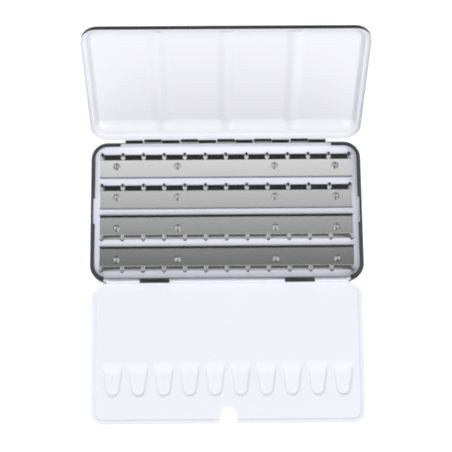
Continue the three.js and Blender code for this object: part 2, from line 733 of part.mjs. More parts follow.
for (let row = 0; row < RAIL_COUNT; row++) {
  tin.add(named(`pan_rail_${row + 1}`, toGeometry(panRail(row)), brushedSteel));
  RIVET_PLACES.forEach((x, i) => {
    const rivet = named(`rail_${row + 1}_rivet_${i + 1}`, rivetGeometry(), brightSteel);
    rivet.position.set(x, railCentreY(row), 0);
    tin.add(rivet);
  });
}

export default tin;
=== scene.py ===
"""An empty folding watercolour tin, opened out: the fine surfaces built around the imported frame.

Lengths in this script are millimetres until a mesh is made, when they become metres. The lid and
the leaf are drawn closed, with their own hinge axis as origin, and swung open to the frame's rest.
"""

import json
import math

import bmesh
import bpy
from mathutils import Matrix, Vector


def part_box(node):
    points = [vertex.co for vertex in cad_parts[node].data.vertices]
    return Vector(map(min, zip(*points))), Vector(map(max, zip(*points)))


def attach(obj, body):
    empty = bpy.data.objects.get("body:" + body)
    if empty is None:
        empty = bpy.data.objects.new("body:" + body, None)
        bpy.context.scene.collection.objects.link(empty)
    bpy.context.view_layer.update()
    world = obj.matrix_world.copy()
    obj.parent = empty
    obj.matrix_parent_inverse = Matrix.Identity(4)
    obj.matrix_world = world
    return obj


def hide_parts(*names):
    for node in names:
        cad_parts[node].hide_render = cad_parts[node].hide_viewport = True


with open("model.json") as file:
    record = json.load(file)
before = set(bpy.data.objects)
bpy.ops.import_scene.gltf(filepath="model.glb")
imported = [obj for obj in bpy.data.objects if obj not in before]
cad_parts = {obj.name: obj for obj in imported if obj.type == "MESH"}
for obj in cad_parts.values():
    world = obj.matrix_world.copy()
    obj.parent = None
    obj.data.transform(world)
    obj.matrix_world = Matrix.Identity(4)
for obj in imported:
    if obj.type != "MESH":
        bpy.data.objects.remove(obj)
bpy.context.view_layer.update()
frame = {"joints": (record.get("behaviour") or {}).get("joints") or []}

MM = 0.001

# ---- Sizes, in millimetres -----------------------------------------------------------------

joints = {joint["name"]: joint for joint in frame["joints"]}
LID_AXIS = Vector(joints["lid_hinge"]["pos_m"]) / MM
LEAF_AXIS = Vector(joints["leaf_hinge"]["pos_m"]) / MM
LID_SWING = -math.radians(joints["lid_hinge"]["range_deg"][1])
LEAF_SWING = -math.radians(joints["leaf_hinge"]["range_deg"][0])

CLEARANCE = 0.15

# The base: floor, wall, shoulder, and a neck whose top edge is turned in as a hem. The hem has a
# break in the middle of each side, and the shoulder and neck leave gaps at the back and front.
HALF_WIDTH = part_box("base_tray")[1].x / MM
NECK_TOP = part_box("base_tray")[1].z / MM
HALF_DEPTH = 57.5
CORNER_RADIUS = 13.5
CORNER_STEPS = 18
SHEET = 0.6
SHOULDER_TOP = 12.0
NECK_INSET = 1.7
HEM_DROP = 2.2
HEM_BREAK = 21.0
BACK_GAP_HALF = 86.0
FRONT_GAP_HALF = 99.2
FRONT_SHOULDER_TOP = 8.6
FRONT_SHOULDER_TURN = 0.3
FRONT_WALL_INSET = 1.6
FRONT_WALL_TOP = 11.8

# The hinges. A web ties each knuckle to its sheet, and starts a little way inside that sheet.
KNUCKLE_PITCH = 15.0
KNUCKLES = 11
LID_KNUCKLE_RADIUS = 1.05
LEAF_BARREL_RADIUS = 1.0
LEAF_KNUCKLE_RADIUS = 1.2
LEAF_KNUCKLE_CENTRE = 58.2
LEAF_KNUCKLE_WIDTH = 23.6
WEB_SINK = 0.1
PIN_RADIUS = 0.45

# The lid, drawn closed: heights are over its hinge axis. Its wells are sunk into a flat border,
# with ridges between them. An inset is where a well's outer wall starts, and a slope is how far
# across that wall takes to sink.
LID_SKIRT_BOTTOM = SHOULDER_TOP + CLEARANCE - LID_AXIS.z
LID_BORDER_OVER_FLOOR = 16.4
LID_BORDER = LID_BORDER_OVER_FLOOR - LID_AXIS.z
LID_TURN = 0.5
LID_WELLS = 4
LID_WELL_DEPTH = 4.5
LID_RIDGE_SHARE = 0.5
LID_RIDGE_HALF = 7.5
LID_SIDE_INSET = 4.2
LID_FREE_INSET = 5.0
LID_HINGE_INSET = 4.2
LID_SIDE_SLOPE = 3.0
LID_FREE_SLOPE = 3.4
LID_HINGE_SLOPE = 10.5
LID_FREE_RADIUS = 9.0
LID_LIP_POWER = 1.7
LID_LIP_SHARE = 0.65

# The mixing leaf, drawn closed: y runs from its hinge axis to its free edge. Inside a flat ledge
# lies a sunken field with ten small wells and a thumb notch, and an apron runs down to the hinge.
LEAF_LENGTH = 112.9
LEAF_HALF_WIDTH = 108.7
LEAF_SHEET = 0.5
LEDGE_WIDTH = 3.1
LEDGE_START = 6.8
LEDGE_UNDER = NECK_TOP + CLEARANCE - LEAF_AXIS.z
FIELD_STEP = 0.8
FIELD_SLOPE = 0.9
FIELD_REAR = 0.75
FIELD_REAR_RADIUS = 8.5
FIELD_FRONT_RADIUS = 6.9
APRON_HALF = 97.0
NOTCH_WIDTH = 13.0
NOTCH_DEPTH = 13.1
NOTCH_START = LEAF_LENGTH - NOTCH_DEPTH
NOTCH_REACH = 15
SMALL_WELLS = 10
SMALL_WELL_PITCH = 20.4
SMALL_WELL_REAR = 63.4
SMALL_WELL_REAR_HALF = 9.2
SMALL_WELL_FRONT = 91.4
SMALL_WELL_FRONT_RADIUS = 6.2
SMALL_WELL_DEPTH = 1.8
SMALL_WELL_WALL = 2.0
SMALL_WELL_RAMP = 1 / 2.2

# The rails: y runs from the plain flange's outside to the fluted flange's edge. A flute is a round
# channel through the sloped flange at each end of a cell, and its cap is where it curls up.
RAILS = 4
RAIL_SHEET = 0.5
RAIL_BEND = 0.5
CELL_PITCH = 17.0
CELLS = 12
PLAIN_FLANGE = 4.5
FLANGE_FOOT = 15.9
FLANGE_EDGE = 19.9
FLANGE_START_SLOPE = math.tan(math.radians(11))
FLANGE_END_SLOPE = math.tan(math.radians(37))
FLUTE_REACH = 1.6
FLUTE_ROOT_HALF = 3.6
FLUTE_TIP_HALF = 1.9
FLUTE_CAP_START = FLANGE_EDGE - 1.0
FLUTE_SIDE_RISE = 2.3
FLUTE_END_RISE = 1.7

# The rivets. The head's upper face is (distance from its middle, height over the rail): a nub,
# a hollow and a ring, and outside them a brim that slopes down in equal steps.
RIVETS_PER_RAIL = 4
RIVET_HEAD_HEIGHT = 0.9
RIVET_HEAD = [(0, 0.52), (0.35, 0.48), (0.70, 0.20), (1.0, 0.14), (1.3, 0.36), (1.6, 0.60),
              (1.8, 0.68), (2.0, 0.66)]
RIVET_BRIM_WIDTH = 0.9
RIVET_BRIM_STEPS = 4
RIVET_BRIM_STEP = 0.2
RIVET_BRIM_FALL = 0.14
RIVET_SHANK_RADIUS = 1.1
RIVET_SIDES = 32

# ---- Meshes --------------------------------------------------------------------------------


def make_piece(name, verts, faces, materials, body, slots=None, turn=None, sharp=35):
    """A mesh object from millimetre points, put on a body of the frame."""
    mesh = bpy.data.meshes.new(name)
    points = [Vector(v) for v in verts]
    if turn is not None:
        points = [turn @ p for p in points]
    mesh.from_pydata([p * MM for p in points], [], faces)
    for material in materials:
        mesh.materials.append(material)
    if slots is not None:
        mesh.polygons.foreach_set("material_index", slots)
    mesh.validate()
    piece = bpy.data.objects.new(name, mesh)
    soften(piece, sharp)
    bpy.context.scene.collection.objects.link(piece)
    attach(piece, body)
    return piece


def apply_modifiers(piece):
    """Makes a piece's modified shape its own mesh."""
    bpy.context.view_layer.update()
    graph = bpy.context.evaluated_depsgraph_get()
    mesh = bpy.data.meshes.new_from_object(piece.evaluated_get(graph))
    piece.modifiers.clear()
    piece.data = mesh


def thicken(piece, thickness, back_slot=0, rim_slot=0):
    """Gives a one-sided sheet its thickness, away from the side its faces point to."""
    modifier = piece.modifiers.new("sheet", "SOLIDIFY")
    modifier.thickness = thickness * MM
    modifier.offset = -1
    modifier.use_even_offset = True
    modifier.material_offset = back_slot
    modifier.material_offset_rim = rim_slot
    apply_modifiers(piece)


def weld(piece):
    """Joins points that stand on each other, so that strips drawn apart become one sheet."""
    sheet = bmesh.new()
    sheet.from_mesh(piece.data)
    bmesh.ops.remove_doubles(sheet, verts=sheet.verts, dist=0.002 * MM)
    sheet.to_mesh(piece.data)
    sheet.free()


def soften(piece, sharp=35):
    """Smooth shading, with crisp edges where faces meet at more than the sharp angle."""
    piece.data.polygons.foreach_set("use_smooth", [True] * len(piece.data.polygons))
    piece.data.set_sharp_from_angle(angle=math.radians(sharp))


def hinge_turn(axis, angle):
    """From the closed drawing about a hinge axis to the frame's rest pose."""
    return Matrix.Translation(axis) @ Matrix.Rotation(angle, 4, "X")


def arc(cx, cy, radius, start, end, steps):
    """Points on an arc, angles in degrees, both ends included."""
    angles = [math.radians(start + (end - start) * i / steps) for i in range(steps + 1)]
    return [(cx + radius * math.cos(a), cy + radius * math.sin(a)) for a in angles]


def smooth(t):
    """From 0 at 0 to 1 at 1, level at both ends."""
    t = min(max(t, 0.0), 1.0)
    return t * t * (3 - 2 * t)


class RoundedRectangle:
    """A rounded rectangle from y0 to y1, with a radius for its low-Y and its high-Y corners."""

    def __init__(self, half_width, y0, y1, low_radius, high_radius):
        self.half_width = half_width
        self.y0 = y0
        self.y1 = y1
        self.low_radius = low_radius
        self.high_radius = high_radius

    def half_width_at(self, y):
        """Half the rectangle's width at y."""
        if y < self.y0 + self.low_radius:
            past = self.y0 + self.low_radius - y
            radius = self.low_radius
        elif y > self.y1 - self.high_radius:
            past = y - (self.y1 - self.high_radius)
            radius = self.high_radius
        else:
            return self.half_width
        return self.half_width - radius + math.sqrt(max(radius * radius - past * past, 0))

    def outward(self, x, y):
        """The direction straight out of the outline at a point on it."""
        side = 1 if x > 0 else -1
        if y < self.y0 + self.low_radius:
            radius, centre_y = self.low_radius, self.y0 + self.low_radius
        elif y > self.y1 - self.high_radius:
            radius, centre_y = self.high_radius, self.y1 - self.high_radius
        else:
            return Vector((side, 0, 0))
        centre_x = side * (self.half_width - radius)
        if abs(x) < abs(centre_x) + 1e-6:
            return Vector((0, -1 if y < centre_y else 1, 0))
        return Vector((x - centre_x, y - centre_y, 0)).normalized()

    def rows(self, between, arc_steps=12):
        """Rows along Y: the corners' arcs, with those given rows that lie clear between them."""
        clear = 0.2
        quarter = [math.radians(90 * i / arc_steps) for i in range(arc_steps + 1)]
        low = [self.y0 + self.low_radius * (1 - math.cos(a)) for a in quarter]
        high = [self.y1 - self.high_radius * (1 - math.cos(a)) for a in reversed(quarter)]
        middle = [y for y in between if low[-1] + clear < y < high[0] - clear]
        return low + middle + high


def sheet_grid(outline, rows, columns, height):
    """A grid that fills an outline, and its rim as (vertex index, outward direction) pairs."""
    verts = []
    for y in rows:
        half = outline.half_width_at(y)
        for u in columns:
            x = u * half
            verts.append((x, y, height(x, y)))
    wide = len(columns)
    faces = []
    for r in range(len(rows) - 1):
        for c in range(wide - 1):
            a = r * wide + c
            faces.append((a, a + 1, a + wide + 1, a + wide))
    last = (len(rows) - 1) * wide
    rim = list(range(wide))
    rim += [r * wide + wide - 1 for r in range(1, len(rows))]
    rim += [last + c for c in range(wide - 2, -1, -1)]
    rim += [r * wide for r in range(len(rows) - 2, 0, -1)]
    return verts, faces, [(i, outline.outward(verts[i][0], verts[i][1])) for i in rim]


def straight_out(point, outward, distance):
    """The usual place of a ring's point: a distance out from the rim's point."""
    return point + outward * distance


def add_rings(verts, faces, rim, profile, keep=None, place=straight_out):
    """Carries a grid's rim on through (outward distance, z) steps.

    keep says which stretches get faces, and place says where a point goes at a distance.
    """
    origin = [Vector((verts[i][0], verts[i][1], 0)) for i, _ in rim]
    before = [i for i, _ in rim]
    count = len(rim)
    for distance, z in profile:
        ring = []
        for point, (_, outward) in zip(origin, rim):
            moved = place(point, outward, distance)
            ring.append(len(verts))
            verts.append((moved.x, moved.y, z))
        for k in range(count):
            after = (k + 1) % count
            if keep is None or keep(origin[k], origin[after]):
                faces.append((before[after], before[k], ring[k], ring[after]))
        before = ring
    return [(i, outward) for i, (_, outward) in zip(before, rim)]


def spaced(start, end, step):
    """Evenly spaced values with both ends, about a step apart."""
    count = max(int(round((end - start) / step)), 1)
    return [start + (end - start) * i / count for i in range(count + 1)]


def swept_bar(sections):
    """A closed bar along X. sections is a list of (x, [(y, z), ...]), all alike in length."""
    count = len(sections[0][1])
    verts = [(x, y, z) for x, loop in sections for y, z in loop]
    faces = []
    for s in range(len(sections) - 1):
        for i in range(count):
            a = s * count + i
            b = s * count + (i + 1) % count
            faces.append((a, b, b + count, a + count))
    faces.append(tuple(reversed(range(count))))
    last = (len(sections) - 1) * count
    faces.append(tuple(range(last, last + count)))
    return verts, faces


def merge(parts):
    """Several (vertices, faces) pairs as one."""
    verts = []
    faces = []
    for part_verts, part_faces in parts:
        start = len(verts)
        verts += part_verts
        faces += [tuple(i + start for i in face) for face in part_faces]
    return verts, faces


# ---- Materials -----------------------------------------------------------------------------


class NodeTree:
    """Writes nodes into a material's or a world's tree."""

    def __init__(self, tree):
        self.tree = tree

    def add(self, kind, **values):
        node = self.tree.nodes.new(kind)
        for key, value in values.items():
            setattr(node, key, value)
        return node

    def feed(self, value, socket):
        """Gives a socket a plain number, or links it to another node's output."""
        if isinstance(value, (int, float)):
            socket.default_value = value
        else:
            self.tree.links.new(value, socket)

    def calculate(self, operation, first, second):
        node = self.add("ShaderNodeMath", operation=operation)
        self.feed(first, node.inputs[0])
        self.feed(second, node.inputs[1])
        return node.outputs[0]

    def ramp(self, value, start, end, low, high, kind="LINEAR"):
        """Maps a value from start..end to low..high, and holds it there outside."""
        node = self.add("ShaderNodeMapRange", interpolation_type=kind)
        node.inputs["From Min"].default_value = start
        node.inputs["From Max"].default_value = end
        node.inputs["To Min"].default_value = low
        node.inputs["To Max"].default_value = high
        self.feed(value, node.inputs["Value"])
        return node.outputs["Result"]


class MaterialNodes(NodeTree):
    """A new material with one principled shader, in object coordinates in millimetres."""

    def __init__(self, name):
        self.material = bpy.data.materials.new(name)
        self.material.use_nodes = True
        super().__init__(self.material.node_tree)
        self.tree.nodes.clear()
        output = self.add("ShaderNodeOutputMaterial")
        self.shader = self.add("ShaderNodeBsdfPrincipled")
        self.feed(self.shader.outputs[0], output.inputs["Surface"])

    def millimetres(self, scale=(1, 1, 1)):
        """Object coordinates in millimetres, stretched by a scale."""
        coordinates = self.add("ShaderNodeTexCoord")
        mapping = self.add("ShaderNodeMapping")
        mapping.inputs["Scale"].default_value = [s / MM for s in scale]
        self.feed(coordinates.outputs["Object"], mapping.inputs["Vector"])
        return mapping.outputs["Vector"]

    def noise(self, vector, scale, detail, roughness=0.5):
        node = self.add("ShaderNodeTexNoise")
        node.inputs["Scale"].default_value = scale
        node.inputs["Detail"].default_value = detail
        node.inputs["Roughness"].default_value = roughness
        self.feed(vector, node.inputs["Vector"])
        return node.outputs["Fac"]

    def spread(self, noise, low, high):
        """Maps a noise, which lies mostly between 0.3 and 0.7, to low..high."""
        return self.ramp(noise, 0.3, 0.7, low, high)

    def tint(self, value, low, high):
        """A colour from low to high."""
        node = self.add("ShaderNodeMix", data_type="RGBA")
        node.inputs["A"].default_value = (*low, 1)
        node.inputs["B"].default_value = (*high, 1)
        self.feed(value, node.inputs["Factor"])
        return node.outputs["Result"]

    def bump(self, value, strength, distance):
        node = self.add("ShaderNodeBump")
        node.inputs["Strength"].default_value = strength
        node.inputs["Distance"].default_value = distance * MM
        self.feed(value, node.inputs["Height"])
        return node.outputs["Normal"]

    def drive(self, socket, value):
        """Feeds an input of the principled shader."""
        self.feed(value, self.shader.inputs[socket])


def enamel(name, dull, bright, roughness, coat):
    """Stoved enamel: a slight orange peel, faint cloudiness and a clear gloss."""
    nodes = MaterialNodes(name)
    plain = nodes.millimetres()
    cloud = nodes.noise(plain, scale=0.02, detail=2)
    peel = nodes.noise(plain, scale=1.4, detail=2)
    smear = nodes.noise(plain, scale=0.05, detail=2)
    nodes.drive("Base Color", nodes.tint(nodes.spread(cloud, 0, 1), dull, bright))
    nodes.drive("Normal", nodes.bump(peel, strength=0.05, distance=0.004))
    nodes.drive("Roughness", nodes.spread(smear, roughness * 0.94, roughness * 1.06))
    nodes.drive("IOR", 1.5)
    nodes.drive("Coat Weight", coat)
    nodes.drive("Coat Roughness", 0.08)
    return nodes.material


def brushed_steel(name, dull, bright, roughness):
    """Satin sheet steel: long fine brush lines along X over a faint mottle."""
    nodes = MaterialNodes(name)
    lines = nodes.noise(nodes.millimetres((0.02, 6, 6)), scale=1.0, detail=4, roughness=0.7)
    mottle = nodes.noise(nodes.millimetres(), scale=0.9, detail=4, roughness=0.65)
    grain = nodes.calculate("ADD", nodes.spread(lines, 0, 0.6), nodes.spread(mottle, 0, 0.4))
    nodes.drive("Base Color", nodes.tint(grain, dull, bright))
    nodes.drive("Roughness", nodes.ramp(grain, 0, 1, roughness * 0.8, roughness * 1.25))
    nodes.drive("Normal", nodes.bump(grain, strength=0.15, distance=0.01))
    nodes.drive("Metallic", 1.0)
    return nodes.material


# The base, the lid and the leaf wear one white enamel. Each part gets its own brightness and tint so
# that it comes out as light or as dark as the light on it makes it: a real white with painted light
# and shade.
white_base_painted_light = enamel("white_enamel_base_painted_light", (0.795, 0.805, 0.890), (0.800, 0.810, 0.895),
                      roughness=0.34, coat=0.25)
white_lid_painted_light = enamel("white_enamel_lid_painted_light", (0.790, 0.790, 0.836), (0.795, 0.795, 0.841),
                   roughness=0.34, coat=0.25)
white_leaf_painted_light = enamel("white_enamel_leaf_painted_light", (0.785, 0.805, 0.855), (0.790, 0.810, 0.860),
                    roughness=0.32, coat=0.25)
black_outside = enamel("black_enamel", (0.014, 0.014, 0.016), (0.020, 0.020, 0.022),
                       roughness=0.34, coat=0.05)
rail_steel = brushed_steel("rail_steel", (0.42, 0.42, 0.42), (0.49, 0.49, 0.49), roughness=0.15)
# A darker, rougher copy of the rail steel for the rails' under side, which shows as the plain flange's
# outer face and top edge: painted shade standing in for the dark these faces mirror.
rail_steel_painted_shade = brushed_steel("rail_steel_painted_shade", (0.20, 0.20, 0.21), (0.28, 0.28, 0.29), roughness=0.38)
rivet_steel = brushed_steel("rivet_steel", (0.38, 0.38, 0.38), (0.46, 0.46, 0.46), roughness=0.20)
pin_steel = brushed_steel("pin_steel", (0.60, 0.60, 0.60), (0.70, 0.70, 0.70), roughness=0.18)

# ---- Base ----------------------------------------------------------------------------------


def tin_outline(inset):
    """The tin's plan, drawn in by an inset."""
    return RoundedRectangle(
        HALF_WIDTH - inset,
        inset - HALF_DEPTH,
        HALF_DEPTH - inset,
        CORNER_RADIUS - inset,
        CORNER_RADIUS - inset,
    )


def tin_stations():
    """Stations anticlockwise round the tin's outline, as (corner or side point, outward)."""
    reach_x = HALF_WIDTH - CORNER_RADIUS
    reach_y = HALF_DEPTH - CORNER_RADIUS
    gap_turn = math.degrees(math.asin((FRONT_GAP_HALF - reach_x) / CORNER_RADIUS))
    hem_end = HEM_BREAK / 2
    even = [90 * k / CORNER_STEPS for k in range(CORNER_STEPS + 1)]
    stop = 40
    back = [(x, reach_y) for x in (BACK_GAP_HALF, stop, 0, -stop, -BACK_GAP_HALF)]
    # Each corner's centre, its first angle, its turns from there, and the side that follows it.
    corners = [
        (reach_x, -reach_y, -90, even + [gap_turn], [(reach_x, -hem_end), (reach_x, hem_end)]),
        (reach_x, reach_y, 0, even, back),
        (-reach_x, reach_y, 90, even, [(-reach_x, hem_end), (-reach_x, -hem_end)]),
        (-reach_x, -reach_y, 180, even + [90 - gap_turn], []),
    ]
    stations = []
    for cx, cy, first, turns, side in corners:
        for turn in sorted(turns):
            angle = math.radians(first + turn)
            stations.append((cx, cy, math.cos(angle), math.sin(angle)))
        angle = math.radians(first + 90)
        stations += [(x, y, math.cos(angle), math.sin(angle)) for x, y in side]
    return stations


def base_wall_profile():
    """The white side of the base's wall as (inset from the outline, z).

    With it come the points where the wall stops at the front gap, the back gap and the hem's break.
    """
    foot = 1.5
    shoulder_turn = 0.4
    neck_turn = 0.7
    hem_turn = 0.3
    wall_middle = 5.0
    overlap = 0.1
    neck_inside = NECK_INSET + SHEET
    ceiling = SHOULDER_TOP - SHEET
    hem_top = NECK_TOP - SHEET - hem_turn
    path = [(SHEET + foot, SHEET)]
    path += [(SHEET + foot - x, SHEET + foot - z) for x, z in arc(0, 0, foot, 90, 0, 8)[1:]]
    front_top = FRONT_SHOULDER_TOP - SHEET - FRONT_SHOULDER_TURN + overlap
    path += [(SHEET, wall_middle), (SHEET, front_top)]
    low_end = len(path) - 1
    path += [(SHEET, ceiling - shoulder_turn)]
    gap_end = len(path) - 1
    path += [(SHEET + shoulder_turn - x, ceiling - shoulder_turn + z)
             for x, z in arc(0, 0, shoulder_turn, 0, 90, 5)[1:]]
    path += [(neck_inside - neck_turn + x, ceiling + neck_turn - z)
             for x, z in arc(0, 0, neck_turn, 90, 0, 6)]
    path += [(neck_inside, hem_top)]
    neck_end = len(path) - 1
    path += [(neck_inside + hem_turn - x, hem_top + z) for x, z in arc(0, 0, hem_turn, 0, 180, 12)[1:]]
    path += [(neck_inside + 2 * hem_turn, NECK_TOP - HEM_DROP)]
    return path, low_end, gap_end, neck_end


def build_base():
    profile, low_end, gap_end, neck_end = base_wall_profile()
    stations = tin_stations()
    verts = []
    for cx, cy, dx, dy in stations:
        for inset, z in profile:
            verts.append((cx + dx * (CORNER_RADIUS - inset), cy + dy * (CORNER_RADIUS - inset), z))
    deep = len(profile)
    inward = 0.2

    def last_ring(k, after):
        """The highest ring of the wall between two neighbouring stations.

        The rings stand inside the outline, so the front gap ends a little nearer the middle there.
        """
        x = (verts[k * deep + gap_end][0] + verts[after * deep + gap_end][0]) / 2
        y = (verts[k * deep + gap_end][1] + verts[after * deep + gap_end][1]) / 2
        if y > HALF_DEPTH - 1 and abs(x) < BACK_GAP_HALF:
            return gap_end
        if y < 0 and abs(x) < FRONT_GAP_HALF - inward:
            return low_end
        if abs(x) > HALF_WIDTH - 1 and abs(y) < HEM_BREAK / 2:
            return neck_end
        return deep - 1

    faces = [tuple(k * deep for k in range(len(stations)))]
    for k in range(len(stations)):
        after = (k + 1) % len(stations)
        for ring in range(last_ring(k, after)):
            a = k * deep + ring
            b = after * deep + ring
            faces.append((b, a, a + 1, b + 1))
    shell = make_piece("base_shell", verts, faces, [white_base_painted_light, black_outside], "base")
    thicken(shell, SHEET, back_slot=1, rim_slot=1)
    soften(shell)
    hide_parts("base_tray")


def build_front_wall():
    """The low wall behind the leaf hinge, bent up from the lowered shoulder."""
    turn = FRONT_SHOULDER_TURN
    foot = 0.65
    under = FRONT_SHOULDER_TOP - SHEET
    outer = SHEET - HALF_DEPTH
    inner = FRONT_WALL_INSET + SHEET - HALF_DEPTH
    path = [(outer, under - turn)]
    path += [(outer + turn - x, under - turn + z) for x, z in arc(0, 0, turn, 0, 90, 5)[1:]]
    path += [(inner - foot + x, under + foot - z) for x, z in arc(0, 0, foot, 90, 0, 6)]
    path += [(inner, FRONT_WALL_TOP)]
    xs = spaced(-FRONT_GAP_HALF, FRONT_GAP_HALF, 20)
    verts = [(x, y, z) for x in xs for y, z in path]
    count = len(path)
    faces = []
    for s in range(len(xs) - 1):
        for i in range(count - 1):
            a = s * count + i
            faces.append((a, a + count, a + count + 1, a + 1))
    wall = make_piece("base_front_wall", verts, faces, [white_base_painted_light, black_outside], "base")
    thicken(wall, SHEET, back_slot=1, rim_slot=1)
    soften(wall)


# ---- Hinge knuckles ------------------------------------------------------------------------


def softened_bar(loop, x0, x1, ease=0.15):
    """A bar along X whose ends are eased in towards the middle of its section."""
    part = ease * 0.3
    cy = sum(y for y, _ in loop) / len(loop)
    cz = sum(z for _, z in loop) / len(loop)

    def shrunk(by):
        points = []
        for y, z in loop:
            reach = math.hypot(y - cy, z - cz)
            k = 1 - by / max(reach, by * 2)
            points.append((cy + (y - cy) * k, cz + (z - cz) * k))
        return points

    return swept_bar([
        (x0, shrunk(ease)),
        (x0 + part, shrunk(part)),
        (x0 + ease, loop),
        (x1 - ease, loop),
        (x1 - part, shrunk(part)),
        (x1, shrunk(ease)),
    ])


def wall_knuckle_loop(up):
    """A curl round the lid hinge's axis, tied to the wall by a web above it, or below for up -1."""
    wall = HALF_DEPTH - WEB_SINK - LID_AXIS.y
    web_near = [(-0.45, 0.75), (-0.70, 1.9)]
    web_at_wall = [(wall, 2.4), (wall, 1.3)]
    loop = arc(0, 0, LID_KNUCKLE_RADIUS, 180, -120, 24) + web_near + web_at_wall
    if up < 0:
        loop.reverse()
    return [(y, z * up) for y, z in loop]


def lid_knuckle_spans(first):
    """Every other knuckle. Pairs stand close together, and pair and pair a little apart."""
    wide = 0.5
    narrow = 0.15
    left_gap, right_gap = (wide, narrow) if first == 1 else (narrow, wide)
    spans = []
    for i in range(first, KNUCKLES, 2):
        left = (i - KNUCKLES / 2) * KNUCKLE_PITCH
        spans.append((left + left_gap, left + KNUCKLE_PITCH - right_gap))
    return spans


def build_lid_knuckles():
    """The base's six and the lid's five knuckles, by turns."""
    base_loop = [(y + LID_AXIS.y, z + LID_AXIS.z) for y, z in wall_knuckle_loop(-1)]
    base_verts, base_faces = merge([softened_bar(base_loop, *span) for span in lid_knuckle_spans(0)])
    base_curls = make_piece("base_lid_knuckles", base_verts, base_faces, [black_outside], "base")

    lid_verts, lid_faces = merge([softened_bar(wall_knuckle_loop(1), *span)
                                  for span in lid_knuckle_spans(1)])
    lid_curls = make_piece("lid_knuckles", lid_verts, lid_faces, [black_outside], "lid",
                           turn=hinge_turn(LID_AXIS, LID_SWING))


def build_leaf_knuckles():
    """The base's two wide curls that carry the leaf."""
    wall = FRONT_WALL_INSET - HALF_DEPTH - LEAF_AXIS.y + SHEET / 2
    radius = LEAF_KNUCKLE_RADIUS
    floor = FRONT_SHOULDER_TOP - WEB_SINK - LEAF_AXIS.z
    web_top = 1.35
    half = LEAF_KNUCKLE_WIDTH / 2
    loop = arc(0, 0, radius, 60, 360, 28)
    loop += [(radius, floor), (wall, floor), (wall, web_top), (radius, web_top)]
    loop = [(y + LEAF_AXIS.y, z + LEAF_AXIS.z) for y, z in loop]
    centres = (-LEAF_KNUCKLE_CENTRE, LEAF_KNUCKLE_CENTRE)
    verts, faces = merge([softened_bar(loop, centre - half, centre + half) for centre in centres])
    curls = make_piece("base_leaf_knuckles", verts, faces, [black_outside], "base")


def build_pin(name, node):
    """Drawn wire with eased ends."""
    low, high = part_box(node)
    centre = (low + high) / 2 / MM
    loop = [(y + centre.y, z + centre.z) for y, z in arc(0, 0, PIN_RADIUS, 0, 360, 20)[:-1]]
    verts, faces = softened_bar(loop, low.x / MM, high.x / MM, ease=0.2)
    pin = make_piece(name, verts, faces, [pin_steel], "base")
    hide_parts(node)


# ---- Lid -----------------------------------------------------------------------------------


def lid_wall_rise(x, y):
    """How far the wells' outer wall has sunk at a point, from 0 at its top edge to 1."""
    across = HALF_WIDTH - LID_SIDE_INSET - abs(x)
    from_free = y - (LID_FREE_INSET - HALF_DEPTH)
    from_hinge = HALF_DEPTH - LID_HINGE_INSET - y
    if from_free < from_hinge:
        along, slope, radius = from_free, LID_FREE_SLOPE, LID_FREE_RADIUS
    else:
        along, slope, radius = from_hinge, LID_HINGE_SLOPE, LID_HINGE_SLOPE
    if across < radius and along < radius:
        dx = radius - across
        dy = radius - along
        reach = math.hypot(dx, dy)
        share = (dx / reach) ** 2 if reach > 0 else 0.5
        t = (radius - reach) / (share * LID_SIDE_SLOPE + (1 - share) * slope)
    else:
        t = min(across / LID_SIDE_SLOPE, along / slope)
    t = min(max(t, 0.0), 1.0)
    lip = 1 - (1 - t) ** LID_LIP_POWER
    return smooth(t) * (1 - LID_LIP_SHARE) + lip * LID_LIP_SHARE


def lid_ridges(x):
    """How much of a ridge stands at a place across the lid, from 0 to 1 at a ridge's crest."""
    pitch = 2 * (HALF_WIDTH - LID_SIDE_INSET) / LID_WELLS
    total = 0.0
    for i in range(1, LID_WELLS):
        away = abs(x - (i - LID_WELLS / 2) * pitch) / LID_RIDGE_HALF
        if away < 1:
            total += 0.5 + 0.5 * math.cos(math.pi * away)
    return total


def lid_height(x, y):
    """The lid's white face when closed, above the hinge axis. y is measured from the tin's middle."""
    sunk = LID_WELL_DEPTH * lid_wall_rise(x, y) * (1 - LID_RIDGE_SHARE * lid_ridges(x))
    return LID_BORDER + sunk


def build_lid():
    """Drawn closed, from the border's turned edge inwards, with the skirt added round it."""
    start = SHEET + LID_TURN
    outline = tin_outline(start)
    free_wall_end = LID_FREE_INSET + LID_FREE_SLOPE - HALF_DEPTH
    hinge_wall_start = 35
    rows = outline.rows(
        spaced(start - HALF_DEPTH, free_wall_end + 1, 0.6)
        + spaced(free_wall_end + 2, hinge_wall_start - 1, 2.2)
        + spaced(hinge_wall_start, HALF_DEPTH - start, 0.8),
        arc_steps=14,
    )
    half_count = 150
    columns = [c / half_count for c in range(-half_count, half_count + 1)]
    verts, faces, rim = sheet_grid(outline, rows, columns, lid_height)
    path = [(x, LID_BORDER - LID_TURN + z) for x, z in arc(0, 0, LID_TURN, 90, 0, 6)[1:]]
    path += [(LID_TURN, z) for z in (LID_SKIRT_BOTTOM + 1.5, LID_SKIRT_BOTTOM)]
    add_rings(verts, faces, rim, path)
    verts = [(x, y - LID_AXIS.y, z) for x, y, z in verts]
    faces = [tuple(reversed(face)) for face in faces]
    shell = make_piece("lid_shell", verts, faces, [white_lid_painted_light, black_outside], "lid",
                       turn=hinge_turn(LID_AXIS, LID_SWING))
    thicken(shell, SHEET, back_slot=1)
    soften(shell, 40)
    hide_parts("lid")


# ---- Mixing leaf ---------------------------------------------------------------------------


